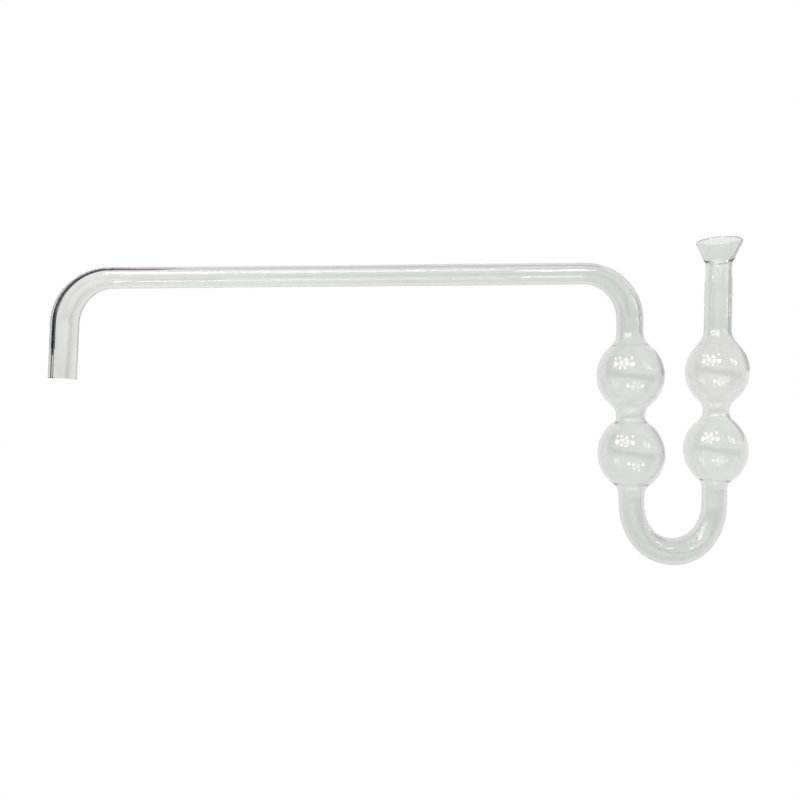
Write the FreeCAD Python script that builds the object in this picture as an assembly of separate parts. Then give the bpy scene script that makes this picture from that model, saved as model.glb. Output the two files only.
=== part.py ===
"""Four-bulb liquid-seal tube: a long borosilicate gas line that ends in a bulbed U trap.

One run of glass goes from the inlet to the open mouth, all on the plane Y = 0:

    inlet leg, up -> inlet bend -> long arm -> drop bend -> drop tube, down -> two bulbs
    -> U bend -> two bulbs -> mouth tube, up -> collar -> flared mouth

A glassblower makes it from drawn tube, bends and blown bulbs, and butt-seals them in the
flame. Each node below is one of those sections. It meets its neighbours face to face on a
flat ring, square to the axis of the glass.

Millimetres, +Z up. The origin is the centre of the inlet leg's open end. The arm is level and
runs towards +X, and the inner column of bulbs is plumb. Nothing moves: the glass is one
rigid body.
"""

import FreeCAD, Part  # noqa: E401  FreeCAD has to come first

import math
import os
from dataclasses import dataclass

from FreeCAD import Vector

# ---- Tubes: outside diameter and wall ----
INLET_OD = 10.9
INLET_WALL = 1.6
ARM_OD = 9.0
ARM_WALL = 1.2
DROP_OD = 10.7
DROP_WALL = 1.5
INNER_NECK_OD = 11.8
OUTER_NECK_OD = 10.3
NECK_WALL = 1.4
INNER_U_LEG_OD = 10.3
U_BOTTOM_OD = 11.2
OUTER_U_LEG_OD = 9.6
U_WALL = 1.4
MOUTH_OD = 10.7
MOUTH_WALL = 1.5
COLLAR_OD = 10.1          # its bore is the mouth tube's

# ---- Bulbs, in the order that the gas meets them ----
# A bulb's side is an arc of a larger radius than half its diameter, so it is a little longer
# than it is wide. A shoulder is the hollow curve, outside, where it runs into a tube.
BULB_WALL = 1.1
BULB_SIDE_RADIUS = 16.4
BULB_1_OD = 27.1
BULB_1_ENTRY_SHOULDER = 7.4
BULB_1_EXIT_SHOULDER = 6.0
BULB_2_OD = 27.0
BULB_2_ENTRY_SHOULDER = 2.8
BULB_2_EXIT_SHOULDER = 7.4
BULB_3_OD = 24.8
BULB_3_ENTRY_SHOULDER = 4.7
BULB_3_EXIT_SHOULDER = 4.8
BULB_4_OD = 24.6
BULB_4_ENTRY_SHOULDER = 5.6
BULB_4_EXIT_SHOULDER = 9.0

# ---- Lengths along the axis ----
INLET_LENGTH = 23.2
ARM_LENGTH = 198.3
DROP_LENGTH = 5.6         # from the drop bend to the shoulder of bulb 1
NECK_WAIST = 0.2          # level glass at a neck, between the two shoulders
NECK_LENGTH = 2.6         # from seam to seam, its ends a little way up the shoulders
INNER_U_LEG_LENGTH = 3.2
OUTER_U_LEG_LENGTH = 6.9
MOUTH_LENGTH = 23.6
MOUTH_TAPER = 5.0         # the mouth tube narrows to the collar over this length
COLLAR_LENGTH = 4.4
FLARE_HEIGHT = 8.9

# ---- Bends: radius of the centre line ----
INLET_BEND_RADIUS = 20.0
DROP_BEND_RADIUS = 19.0
U_SIDE_RADIUS = 22.3
U_BOTTOM_RADIUS = 16.2
U_SIDE_TURN = 35.0        # degrees of each side of the U, before its bottom

# ---- Directions, in degrees ----
INLET_LEAN = 3.0          # inlet leg off plumb, its open end outwards
OUTLET_LEAN = 1.7         # outer column off plumb, its mouth outwards

# ---- Ends ----
END_ROUND = 0.4           # fire-polished edge of the inlet's cut end
RIM_OD = 17.8
FLARE_FOOT_OD = 11.2      # the flare's foot stands proud of its collar
FLARE_WALL = 1.4

DEGREES_PER_SECTION = 7.0  # the most that a bend turns between two of its lofted circles
TINY = 1e-6


@dataclass(frozen=True)
class Tube:
    """A round glass tube."""

    od: float
    wall: float

    @property
    def outer(self):
        return self.od / 2

    @property
    def inner(self):
        return self.od / 2 - self.wall

    @property
    def skins(self):
        """The radii of its outside and its bore."""
        return self.outer, self.inner


@dataclass(frozen=True)
class Station:
    """A point on the centre line and the way that the glass runs there, on the plane Y = 0."""

    x: float
    z: float
    heading: float        # degrees from +X towards +Z

    def ahead(self, length):
        angle = math.radians(self.heading)
        return Station(self.x + length * math.cos(angle), self.z + length * math.sin(angle), self.heading)

    def turned(self, radius, turn):
        """The station after an arc of the centre line. A positive turn is from +X towards +Z."""
        side = math.copysign(radius, turn)
        before, after = math.radians(self.heading), math.radians(self.heading + turn)
        x = self.x + side * (math.sin(after) - math.sin(before))
        z = self.z - side * (math.cos(after) - math.cos(before))
        return Station(x, z, self.heading + turn)

    def placement(self):
        """Carries a section drawn along local +Z to this place on the run."""
        turn = FreeCAD.Rotation(Vector(0, 1, 0), 90 - self.heading)
        return FreeCAD.Placement(Vector(self.x, 0, self.z), turn)


# ---- Half sections, drawn in the local X-Z plane: X is the radius and Z the way along ----

def at(radius, along):
    return Vector(radius, 0, along)


def line(start, end):
    """A straight edge, or nothing where the two points are one."""
    return [] if start.distanceToPoint(end) < TINY else [Part.LineSegment(start, end).toShape()]


def arc(centre, start, end):
    """The shorter arc about a centre from start to end."""
    towards_middle = (start - centre) + (end - centre)
    middle = centre + towards_middle.normalize() * centre.distanceToPoint(start)
    return [Part.Arc(start, middle, end).toShape()]


def revolved(edges):
    """A closed half section turned once about the local Z axis."""
    face = Part.Face(Part.Wire(Part.sortEdges(edges)[0]))
    return face.revolve(Vector(0, 0, 0), Vector(0, 0, 1), 360).Solids[0]


def placed(solid, start, length):
    """A section put at its start, with the station at its other end."""
    solid.Placement = start.placement()
    return solid, start.ahead(length)


@dataclass(frozen=True)
class Level:
    """A stretch of a skin that keeps one radius."""

    low: float
    high: float
    size: float

    def radius(self, along):
        return self.size


@dataclass(frozen=True)
class Round:
    """A stretch of a skin that is an arc about a hub: bulging outwards, or hollow as a shoulder is."""

    low: float
    high: float
    hub: Vector
    size: float
    way: int              # +1 bulging, -1 hollow

    def radius(self, along):
        return self.hub.x + self.way * math.sqrt(self.size ** 2 - (along - self.hub.z) ** 2)


def skin_edges(skin, low, high):
    """The part of a skin between two rings."""
    edges = []
    for stretch in skin:
        start, end = max(stretch.low, low), min(stretch.high, high)
        if end - start < TINY:
            continue
        ends = [at(stretch.radius(z), z) for z in (start, end)]
        if isinstance(stretch, Level):
            edges += line(*ends)
        else:
            middle = (start + end) / 2
            edges.append(Part.Arc(ends[0], at(stretch.radius(middle), middle), ends[1]).toShape())
    return edges


def radius_at(skin, along):
    """The skin's radius at one ring."""
    return next(s.radius(along) for s in skin if s.low - TINY <= along <= s.high + TINY)


def ring_section(outside, inside, low, high):
    """The solid between two skins and two flat rings, with its start ring at local zero."""
    rings = [(at(radius_at(outside, z), z), at(radius_at(inside, z), z)) for z in (low, high)]
    solid = revolved(
        skin_edges(outside, low, high) + line(*rings[1]) + skin_edges(inside, low, high) + line(*rings[0]))
    solid.translate(Vector(0, 0, -low))
    return solid


# ---- A column: a tube, a bulb, a neck, a bulb and a tube, drawn as one profile ----

@dataclass(frozen=True)
class Bulb:
    """A blown bulb and the shoulders at its two ends."""

    od: float
    entry_shoulder: float
    exit_shoulder: float

    def reach(self, tube, shoulder, wall_in):
        """How far from the bulb's middle a shoulder ends, on the skin that lies wall_in inside."""
        level = self.level(tube, wall_in)
        beyond = BULB_SIDE_RADIUS - self.od / 2
        return math.sqrt((BULB_SIDE_RADIUS + shoulder) ** 2 - (level + shoulder + wall_in + beyond) ** 2)

    def level(self, tube, wall_in):
        """The tube's radius on the outside, or its bore's where wall_in is the bulb's wall."""
        return tube.inner if wall_in else tube.outer

    def longest(self, tube, shoulder):
        """The reach of the shoulder that ends further out, the outside's or the bore's."""
        return max(self.reach(tube, shoulder, wall_in) for wall_in in (0, BULB_WALL))

    def rounds(self, middle, entry, exit_tube, wall_in):
        """The arcs on one skin: shoulder, two halves of the side that meet at its widest ring, shoulder."""
        side = BULB_SIDE_RADIUS - wall_in
        side_hub = at(self.od / 2 - BULB_SIDE_RADIUS, middle)
        shoulders = []
        ends = (entry, self.entry_shoulder, -1), (exit_tube, self.exit_shoulder, 1)
        for tube, outside_shoulder, way in ends:
            shoulder = outside_shoulder + wall_in
            reach = self.reach(tube, outside_shoulder, wall_in)
            hub = at(self.level(tube, wall_in) + shoulder, middle + way * reach)
            touch = middle + way * reach * side / (side + shoulder)
            shoulders.append((hub, shoulder, touch))
        (first_hub, first, first_touch), (last_hub, last, last_touch) = shoulders
        return [
            Round(first_hub.z, first_touch, first_hub, first, -1),
            Round(first_touch, middle, side_hub, side, 1),
            Round(middle, last_touch, side_hub, side, 1),
            Round(last_touch, last_hub.z, last_hub, last, -1),
        ]


def column(start, first, second, entry, neck, exit_tube, names):
    """Two bulbs and the neck between them: their solids by name, and the station after them."""
    first_middle = first.longest(entry, first.entry_shoulder)
    waist = first_middle + first.longest(neck, first.exit_shoulder)
    second_middle = waist + NECK_WAIST + second.longest(neck, second.entry_shoulder)
    length = second_middle + second.longest(exit_tube, second.exit_shoulder)
    skins = []
    for wall_in in (0, BULB_WALL):
        before = first.rounds(first_middle, entry, neck, wall_in)
        after = second.rounds(second_middle, neck, exit_tube, wall_in)
        skins.append([
            Level(0, before[0].low, first.level(entry, wall_in)),
            *before,
            Level(before[-1].high, after[0].low, first.level(neck, wall_in)),
            *after,
            Level(after[-1].high, length, second.level(exit_tube, wall_in)),
        ])
    seams = [0, waist + (NECK_WAIST - NECK_LENGTH) / 2, waist + (NECK_WAIST + NECK_LENGTH) / 2, length]
    solids = {}
    for name, low, high in zip(names, seams, seams[1:]):
        solids[name] = ring_section(*skins, low, high)
        solids[name].Placement = start.ahead(low).placement() * solids[name].Placement
    return solids, start.ahead(length)


# ---- The other sections: each returns its solid and the station where the next one starts ----

def straight(start, tube, length):
    outside, bore = (Part.makeCylinder(radius, length) for radius in tube.skins)
    return placed(outside.cut(bore).Solids[0], start, length)


def polished_end(start, tube, length):
    """A straight tube whose first end is open and fire-polished."""
    e = END_ROUND
    solid = revolved(
        line(at(tube.inner + e, 0), at(tube.outer - e, 0))
        + arc(at(tube.outer - e, e), at(tube.outer - e, 0), at(tube.outer, e))
        + line(at(tube.outer, e), at(tube.outer, length))
        + line(at(tube.outer, length), at(tube.inner, length))
        + line(at(tube.inner, length), at(tube.inner, e))
        + arc(at(tube.inner + e, e), at(tube.inner, e), at(tube.inner + e, 0))
    )
    return placed(solid, start, length)


def bend(start, arcs, tubes):
    """A bend along arcs of the centre line, each a radius and a turn, going smoothly from tube to tube.

    The tubes stand at even shares of the whole turn.
    """
    whole = sum(turn for _, turn in arcs)
    stations, here, turned = [(0.0, start)], start, 0.0
    for radius, turn in arcs:
        count = math.ceil(abs(turn) / DEGREES_PER_SECTION)
        for step in range(1, count + 1):
            share = step / count
            stations.append(((turned + turn * share) / whole, here.turned(radius, turn * share)))
        turned, here = turned + turn, stations[-1][1]
    bars = []
    for skin in (0, 1):
        sizes = [tube.skins[skin] for tube in tubes]
        rings = []
        for share, station in stations:
            ring = Part.makeCircle(between(sizes, share))
            ring.Placement = station.placement()
            rings.append(Part.Wire([ring]))
        bars.append(Part.makeLoft(rings, True, False))
    return bars[0].cut(bars[1]).Solids[0], here


def between(sizes, share):
    """A size at a share of the way through a list of sizes, level where it meets each of them."""
    place = min(share, 1 - TINY) * (len(sizes) - 1)
    index = int(place)
    part = place - index
    return sizes[index] + (sizes[index + 1] - sizes[index]) * part * part * (3 - 2 * part)


def necked_tube(start, tube, collar, length):
    """A straight tube that narrows outside, to the collar, over its last stretch."""
    taper = length - MOUTH_TAPER
    solid = revolved(
        line(at(tube.inner, 0), at(tube.outer, 0))
        + line(at(tube.outer, 0), at(tube.outer, taper))
        + line(at(tube.outer, taper), at(collar.outer, length))
        + line(at(collar.outer, length), at(tube.inner, length))
        + line(at(tube.inner, length), at(tube.inner, 0))
    )
    return placed(solid, start, length)


def flare(start, collar):
    """The open mouth: a cone on the collar's bore, with a foot wider than the collar and a round lip."""
    half = FLARE_WALL / 2
    foot = at(FLARE_FOOT_OD / 2 - half, half)
    lip = at(RIM_OD / 2 - half, FLARE_HEIGHT - half)
    slope = math.atan2(lip.x - foot.x, lip.z - foot.z)
    along, across = at(math.sin(slope), math.cos(slope)), at(math.cos(slope), -math.sin(slope))
    foot_low, foot_outer = at(foot.x, 0), foot + across * half
    lip_outer, lip_top, lip_inner = lip + across * half, lip + along * half, lip - across * half
    solid = revolved(
        line(at(collar.inner, 0), foot_low)
        + arc(foot, foot_low, foot_outer)
        + line(foot_outer, lip_outer)
        + arc(lip, lip_outer, lip_top)
        + arc(lip, lip_top, lip_inner)
        + line(lip_inner, at(collar.inner, 0))
    )
    return placed(solid, start, FLARE_HEIGHT)


def build():
    """Every section by name, and the stations between them."""
    inlet, arm, drop = Tube(INLET_OD, INLET_WALL), Tube(ARM_OD, ARM_WALL), Tube(DROP_OD, DROP_WALL)
    inner_neck, outer_neck = Tube(INNER_NECK_OD, NECK_WALL), Tube(OUTER_NECK_OD, NECK_WALL)
    inner_u, u_bottom, outer_u = (Tube(od, U_WALL) for od in (INNER_U_LEG_OD, U_BOTTOM_OD, OUTER_U_LEG_OD))
    mouth = Tube(MOUTH_OD, MOUTH_WALL)
    collar = Tube(COLLAR_OD, COLLAR_OD / 2 - mouth.inner)
    bulb_1 = Bulb(BULB_1_OD, BULB_1_ENTRY_SHOULDER, BULB_1_EXIT_SHOULDER)
    bulb_2 = Bulb(BULB_2_OD, BULB_2_ENTRY_SHOULDER, BULB_2_EXIT_SHOULDER)
    bulb_3 = Bulb(BULB_3_OD, BULB_3_ENTRY_SHOULDER, BULB_3_EXIT_SHOULDER)
    bulb_4 = Bulb(BULB_4_OD, BULB_4_ENTRY_SHOULDER, BULB_4_EXIT_SHOULDER)
    parts, marks = {}, {}

    here = marks["inlet_end"] = Station(0, 0, 90 - INLET_LEAN)
    parts["inlet_leg"], here = polished_end(here, inlet, INLET_LENGTH)
    marks["inlet_bend"] = here
    parts["inlet_bend"], here = bend(here, [(INLET_BEND_RADIUS, -here.heading)], [inlet, arm])
    marks["arm"] = here
    parts["long_arm"], here = straight(here, arm, ARM_LENGTH)
    marks["drop_bend"] = here
    parts["drop_bend"], here = bend(here, [(DROP_BEND_RADIUS, -90)], [arm, drop])
    marks["drop_tube"] = here
    parts["drop_tube"], here = straight(here, drop, DROP_LENGTH)

    marks["inner_column"] = here
    names = ("bulb_1", "inner_neck", "bulb_2")
    solids, here = column(here, bulb_1, bulb_2, drop, inner_neck, inner_u, names)
    parts.update(solids)
    marks["inner_u_leg"] = here
    parts["inner_u_leg"], here = straight(here, inner_u, INNER_U_LEG_LENGTH)
    marks["u_bend"] = here
    bottom_turn = 90 - OUTLET_LEAN - here.heading - 2 * U_SIDE_TURN
    u_arcs = [(U_SIDE_RADIUS, U_SIDE_TURN), (U_BOTTOM_RADIUS, bottom_turn), (U_SIDE_RADIUS, U_SIDE_TURN)]
    parts["u_bend"], here = bend(here, u_arcs, [inner_u, u_bottom, outer_u])
    marks["outer_u_leg"] = here
    parts["outer_u_leg"], here = straight(here, outer_u, OUTER_U_LEG_LENGTH)

    marks["outer_column"] = here
    names = ("bulb_3", "outer_neck", "bulb_4")
    solids, here = column(here, bulb_3, bulb_4, outer_u, outer_neck, mouth, names)
    parts.update(solids)
    marks["mouth_tube"] = here
    parts["mouth_tube"], here = necked_tube(here, mouth, collar, MOUTH_LENGTH)
    marks["mouth_collar"] = here
    parts["mouth_collar"], here = straight(here, collar, COLLAR_LENGTH)
    marks["mouth_flare"] = here
    parts["mouth_flare"], here = flare(here, collar)
    marks["rim"] = here
    return parts, marks


def main():
    parts, marks = build()
    os.makedirs("parts", exist_ok=True)
    for name, solid in parts.items():
        solid.exportStep(f"parts/{name}.step")
        print(f"{name:12s} valid {solid.isValid()} {solid.ShapeType} {solid.Volume:9.1f} mm3")
    for name, place in marks.items():
        print(f"{name:12s} at x {place.x:8.3f} z {place.z:8.3f} heading {place.heading:7.2f}")


if __name__ == "__main__":
    main()
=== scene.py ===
"""Dresses a four-bulb liquid-seal tube in clear glass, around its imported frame.

The tube is one run of glass on the plane Y = 0: an inlet leg, a long arm, two bulbs on the way
down, a U bend, two bulbs on the way up and a flared mouth. A centre line of straight and round
legs carries two skins, the outside and the bore, and each packed section gets its own piece of
glass between two of its rings. Everything is in metres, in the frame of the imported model.
"""

import logging
import math
from collections.abc import Callable, Sequence
from dataclasses import dataclass, field
from enum import Enum

import bpy
import numpy as np
from mathutils import Matrix, Vector


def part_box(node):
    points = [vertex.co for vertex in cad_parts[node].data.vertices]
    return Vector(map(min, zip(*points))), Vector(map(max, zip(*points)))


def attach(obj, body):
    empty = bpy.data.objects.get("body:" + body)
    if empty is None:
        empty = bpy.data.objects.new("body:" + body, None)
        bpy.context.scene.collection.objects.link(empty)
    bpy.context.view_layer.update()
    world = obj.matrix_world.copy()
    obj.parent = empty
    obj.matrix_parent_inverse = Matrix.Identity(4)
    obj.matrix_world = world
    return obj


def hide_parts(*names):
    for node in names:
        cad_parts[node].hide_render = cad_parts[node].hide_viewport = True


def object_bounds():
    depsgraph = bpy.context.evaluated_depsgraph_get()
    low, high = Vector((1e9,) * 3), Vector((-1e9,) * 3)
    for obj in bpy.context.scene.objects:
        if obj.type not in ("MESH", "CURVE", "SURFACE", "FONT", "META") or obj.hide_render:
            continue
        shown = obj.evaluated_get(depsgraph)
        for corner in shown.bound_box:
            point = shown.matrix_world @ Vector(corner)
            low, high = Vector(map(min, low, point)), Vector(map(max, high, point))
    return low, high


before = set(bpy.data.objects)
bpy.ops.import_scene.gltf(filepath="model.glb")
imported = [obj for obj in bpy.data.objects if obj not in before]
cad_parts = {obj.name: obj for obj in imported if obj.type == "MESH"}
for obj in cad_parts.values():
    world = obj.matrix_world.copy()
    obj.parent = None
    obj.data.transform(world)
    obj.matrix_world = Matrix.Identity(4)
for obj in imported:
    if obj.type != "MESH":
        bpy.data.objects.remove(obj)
CAD_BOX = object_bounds()

LOG = logging.getLogger("seal_tube")
MM = 0.001
BODY = "root"

ROUND_STEPS = 112  # quads round each ring
PROBE = 1e-4  # share of a stretch used to measure its slope
TINY = 1e-20  # the least length that a normal is divided by
END_CROWDING = 0.85  # how much closer together the rings stand at a section's ends
ROUND_RINGS = 7  # rings of a quarter round
FLAT_RINGS = 3  # rings of a narrow flat

# Each piece stops this far short of its ring, so that no two faces lie on one plane.
SEAM_GAP = 0.004 * MM

# Attributes of the meshes. SEAM is one on the flat faces inside a flame seal, BEND is one where
# the run bends tightly, NECK is one in the middle of a neck, and EDGE is one along the bench
# line's edges. Elsewhere each is zero. The glass uses BEND to weigh a painted shade on the bends,
# and NECK to weigh a painted light on the necks.
SEAM = "seam"
BEND = "bend"
NECK = "neck"
EDGE = "edge"
REACH = 5 * MM  # how far along the run a bend or a neck is felt
SLIGHT_BEND = 25.0  # the curvature, per metre, at which BEND leaves zero
TIGHT_BEND = 60.0  # the curvature at which it is one


class Skin(Enum):
    """The two sides of the glass."""

    OUTSIDE = 0
    BORE = 1


# ---- The run: a centre line that carries two skins ----

@dataclass(frozen=True)
class Leg:
    """A stretch of the centre line. A positive curvature, in radians per metre, turns +X towards +Z."""

    length: float
    curvature: float = 0.0

    @classmethod
    def bend(cls, radius: float, turn: float) -> "Leg":
        """An arc of a radius in metres through a turn in degrees."""
        return cls(radius * abs(math.radians(turn)), math.copysign(1 / radius, turn))


@dataclass(frozen=True)
class Tube:
    """A round tube of glass: its outside diameter and its wall."""

    od: float
    wall: float

    def radius(self, skin: Skin) -> float:
        """The radius of one of its skins."""
        return self.od / 2 - (self.wall if skin is Skin.BORE else 0.0)


Radii = Callable[[np.ndarray, Skin], np.ndarray]


@dataclass
class Span:
    """A section of the run: where it starts and ends along the centre line, and how its skins run."""

    start: float
    end: float
    radii: Radii


@dataclass
class GlassRun:
    """The whole run of glass, from the inlet's open end to the mouth's rim.

    Attributes:
        heading: The way that the centre line leaves the origin, in degrees from +X towards +Z.
        marks: Where along the run the flame left a fine line round the outside.
        necks: Where along the run the middles of the necks are.
    """

    heading: float
    legs: list[tuple[float, float, float, float, float]] = field(default_factory=list)
    spans: list[Span] = field(default_factory=list)
    marks: list[float] = field(default_factory=list)
    necks: list[float] = field(default_factory=list)
    length: float = 0.0

    def __post_init__(self) -> None:
        """Puts the first leg's start at the origin."""
        self._tip = (0.0, 0.0, math.radians(self.heading))

    def lay(self, legs: Sequence[Leg], radii: Radii) -> Span:
        """Adds a section to the run's end.

        Args:
            legs: The section's stretches of centre line.
            radii: The radius of a skin at distances from the section's start.

        Returns:
            The section's span.
        """
        start = self.length
        for leg in legs:
            x, z, heading = self._tip
            self.legs.append((self.length, x, z, heading, leg.curvature))
            self.length += leg.length
            ahead = self.place(np.array([self.length]))
            self._tip = (float(ahead[0][0]), float(ahead[1][0]), float(ahead[2][0]))
        span = Span(start, self.length, radii)
        self.spans.append(span)
        return span

    def place(self, along: np.ndarray) -> tuple[np.ndarray, np.ndarray, np.ndarray]:
        """Finds places on the centre line.

        On a leg of curvature k, the chord over a distance d is d sin(kd/2) / (kd/2) long and points
        half a turn kd/2 past the leg's first heading. It holds for a straight leg too.

        Args:
            along: Distances along the run.

        Returns:
            The centre line's x, z and heading there.
        """
        starts, xs, zs, headings, curvatures = (np.array(column) for column in zip(*self.legs))
        leg = np.clip(np.searchsorted(starts, along, side="right") - 1, 0, len(starts) - 1)
        run = along - starts[leg]
        half = curvatures[leg] * run / 2
        chord = run * np.sinc(half / np.pi)
        way = headings[leg] + half
        return xs[leg] + chord * np.cos(way), zs[leg] + chord * np.sin(way), headings[leg] + 2 * half

    def bend(self, along: np.ndarray) -> np.ndarray:
        """How tightly the run bends, from zero to one, by its mean curvature within reach."""
        turn = self.place(along + REACH)[2] - self.place(along - REACH)[2]
        return np.clip((np.abs(turn) / (2 * REACH) - SLIGHT_BEND) / (TIGHT_BEND - SLIGHT_BEND), 0, 1)

    def neck(self, along: np.ndarray) -> np.ndarray:
        """How near a neck the run is: a bell curve of the distance to each."""
        return np.exp(-((along[:, None] - np.array(self.necks)) / REACH) ** 2).sum(-1)

    def radius(self, along: np.ndarray, skin: Skin) -> np.ndarray:
        """Finds how wide a skin is. Each span answers for its own stretch of the run.

        Args:
            along: Distances along the run.
            skin: The skin.

        Returns:
            Its radius there.
        """
        result = np.zeros_like(along)
        for index, span in enumerate(self.spans):
            first = index == 0
            last = index == len(self.spans) - 1
            mine = (first | (along >= span.start)) & (last | (along < span.end))
            result[mine] = span.radii(along[mine] - span.start, skin)
        return result

    def surface(self, along: np.ndarray, radius: np.ndarray, angle: np.ndarray) -> np.ndarray:
        """Turns distances, radii and angles into points of a surface about the centre line.

        A point is the centre, plus the radius times the cosine of the angle across the line in the
        plane Y = 0, plus the radius times its sine along Y.

        Args:
            along: Distances along the run.
            radius: How far the surface is from the centre line.
            angle: The angle round it.

        Returns:
            The points, with x, y and z last.
        """
        x, z, heading = self.place(along)
        across = radius * np.cos(angle)
        x, z = x - across * np.sin(heading), z + across * np.cos(heading)
        return np.stack([x, radius * np.sin(angle), z], -1)


# ---- Hand work: how the drawn and blown glass differs from true circles ----

@dataclass(frozen=True)
class HandWork:
    """The small unevenness of glass that is drawn, bent and blown by hand. Each size is a height.

    Attributes:
        oval: How far a tube is out of round.
        oval_twist: How fast the oval turns along the run, in radians per metre.
        draw_line: Fine ridges that drawing leaves along the bore.
        draw_counts: How many ridges each of its waves has round the bore.
        seal: The thickening inside at each flame seal.
        seal_width: How far along the run a seal's thickening reaches.
        groove: The fine groove that the flame left outside at each mark.
        groove_width: How far along the run it reaches.
        ripple: The slow waves of the bore's wall along the run.
        ripple_pitches: How fast its two waves run, in radians per metre.
    """

    oval: float = 0.035 * MM
    oval_twist: float = 30.0
    draw_line: float = 0.003 * MM
    draw_counts: tuple[int, ...] = (5, 9, 14)
    seal: float = 0.05 * MM
    seal_width: float = 1.1 * MM
    groove: float = 0.03 * MM
    groove_width: float = 0.22 * MM
    ripple: float = 0.010 * MM
    ripple_pitches: tuple[float, float] = (310.0, 173.0)

    def relief(self, along: np.ndarray, angle: np.ndarray, skin: Skin, run: GlassRun) -> np.ndarray:
        """Finds how far a skin lies from its true circle.

        The oval is a cosine of twice the angle. Draw lines are cosines of the angle times each
        count. Ripples are slow sines of the distance. A seal and a groove are bell curves of the
        distance to it. The outside never stands above zero, so the glass stays within its true size.

        Args:
            along: Distances along the run.
            angle: The angles round it.
            skin: The skin.
            run: The run, with its seals and marks.

        Returns:
            What is added to the true radius.
        """
        oval = self.oval * (np.cos(2 * angle + self.oval_twist * along) - 1)
        places = run.marks if skin is Skin.OUTSIDE else [span.end for span in run.spans[:-1]]
        nearest = np.min(np.abs(along[..., None] - np.array(places)), axis=-1)
        if skin is Skin.OUTSIDE:
            return oval - self.groove * np.exp(-(nearest / self.groove_width) ** 2)
        lines = sum(np.cos(count * angle + 2 * count * along) for count in self.draw_counts)
        lines = lines / len(self.draw_counts)
        quick, slow = self.ripple_pitches
        waves = np.sin(quick * along + np.cos(angle)) + np.sin(slow * along + 2 * np.sin(angle))
        bead = np.exp(-(nearest / self.seal_width) ** 2)
        return oval + self.draw_line * lines + self.ripple * waves / 2 - self.seal * bead


# ---- Meshes: a closed outline carried round the centre line ----

Trace = Callable[[np.ndarray], tuple[np.ndarray, np.ndarray]]


@dataclass(frozen=True)
class Stretch:
    """One smooth part of a piece's closed outline.

    Attributes:
        trace: Gives the distance along the run and the radius, at shares from 0 to 1.
        rings: How many rings it has.
        skin: Whose unevenness it takes.
        sealed: Whether a flat seam face closes the gap between its end and the next stretch.
    """

    trace: Trace
    rings: int
    skin: Skin
    sealed: bool = False


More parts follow.
